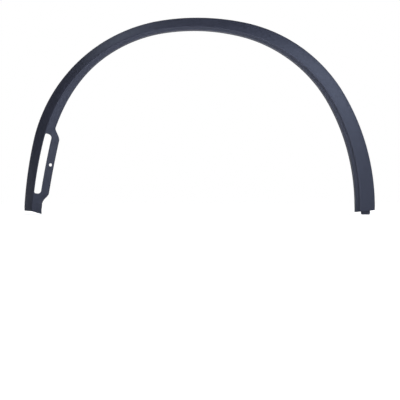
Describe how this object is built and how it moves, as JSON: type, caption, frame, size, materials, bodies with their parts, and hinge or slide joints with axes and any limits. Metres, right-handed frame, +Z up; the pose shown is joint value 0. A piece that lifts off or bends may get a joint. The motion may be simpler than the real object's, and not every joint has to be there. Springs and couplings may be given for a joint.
{
  "type": "wheel arch trim",
  "caption": "Curved plastic trim for a front wheel arch: sloping face, crease, turned-in lip, air outlet slot with a screw strap, and push-in clips behind.",
  "frame": {"origin": "half way along the car between the two feet and half way through the depth, at the height of the lowest point, which is the tip of the tongue on the rear foot", "axes": "+X along the car towards the rear, +Y from the outside of the car inwards, +Z up"},
  "size_m": [0.8896, 0.0804, 0.4955],
  "materials": {
    "moulding": "fine grain, satin, dark blue-grey",
    "clips": "natural nylon, smooth and slightly waxy"
  },
  "bodies": {
    "root": {"arch_moulding": "moulding", "push_clips": "clips"}
  },
  "joints": []
}
